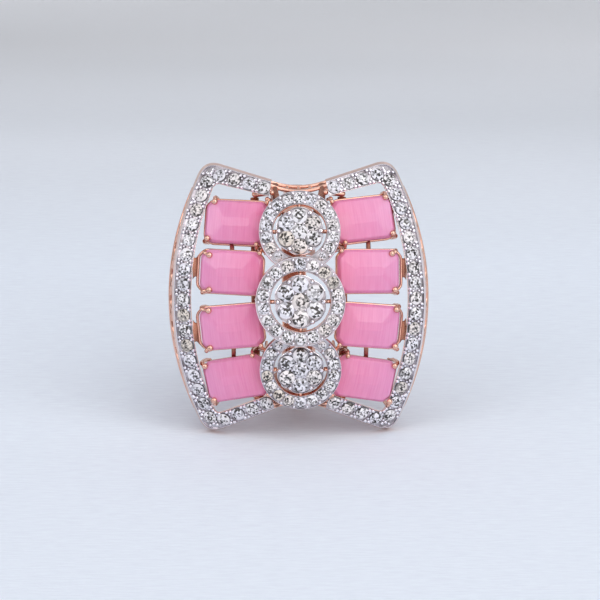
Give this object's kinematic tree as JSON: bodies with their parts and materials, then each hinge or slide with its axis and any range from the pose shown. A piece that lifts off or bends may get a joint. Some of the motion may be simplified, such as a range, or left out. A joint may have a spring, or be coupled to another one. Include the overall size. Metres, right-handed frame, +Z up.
{
  "type": "cocktail ring",
  "caption": "Standing rose gold cocktail ring with a wide domed bow-shaped head of round diamond medallions, rectangular pink stones and pave frames.",
  "frame": {"origin": "centre of the bounding box in X and Y, on the table under the ring (Z = 0)", "axes": "+X along the finger's axis, to the viewer's right; +Y from the head back to the band; +Z up. The ring stands leaning back 13.2 degrees."},
  "size_m": [0.0248, 0.0268, 0.0247],
  "materials": {
    "rose_gold": "polished rose gold",
    "white_rhodium": "white rhodium plate",
    "diamond": "polished facets",
    "pink_stone": "polished, translucent, fibrous"
  },
  "bodies": {
    "root": {"band": "rose_gold", "frame_left": "white_rhodium", "frame_left_diamonds": "diamond", "frame_right": "white_rhodium", "frame_right_diamonds": "diamond", "gallery_left": "rose_gold", "gallery_right": "rose_gold", "halo_top": "white_rhodium", "halo_top_diamonds": "diamond", "cluster_top": "white_rhodium", "cluster_top_diamonds": "diamond", "halo_middle": "white_rhodium", "halo_middle_diamonds": "diamond", "cluster_middle": "white_rhodium", "cluster_middle_diamonds": "diamond", "halo_bottom": "white_rhodium", "halo_bottom_diamonds": "diamond", "cluster_bottom": "white_rhodium", "cluster_bottom_diamonds": "diamond", "gem_left_1": "pink_stone", "basket_left_1": "rose_gold", "gem_left_2": "pink_stone", "basket_left_2": "rose_gold", "gem_left_3": "pink_stone", "basket_left_3": "rose_gold", "gem_left_4": "pink_stone", "basket_left_4": "rose_gold", "gem_right_1": "pink_stone", "basket_right_1": "rose_gold", "gem_right_2": "pink_stone", "basket_right_2": "rose_gold", "gem_right_3": "pink_stone", "basket_right_3": "rose_gold", "gem_right_4": "pink_stone", "basket_right_4": "rose_gold", "strut_left_top": "rose_gold", "link_left_top": "rose_gold", "strut_left_bottom": "rose_gold", "link_left_bottom": "rose_gold", "strut_right_top": "rose_gold", "link_right_top": "rose_gold", "strut_right_bottom": "rose_gold", "link_right_bottom": "rose_gold", "spine_left": "rose_gold", "spine_right": "rose_gold", "strap_top": "rose_gold", "strap_bottom": "rose_gold"}
  },
  "joints": []
}
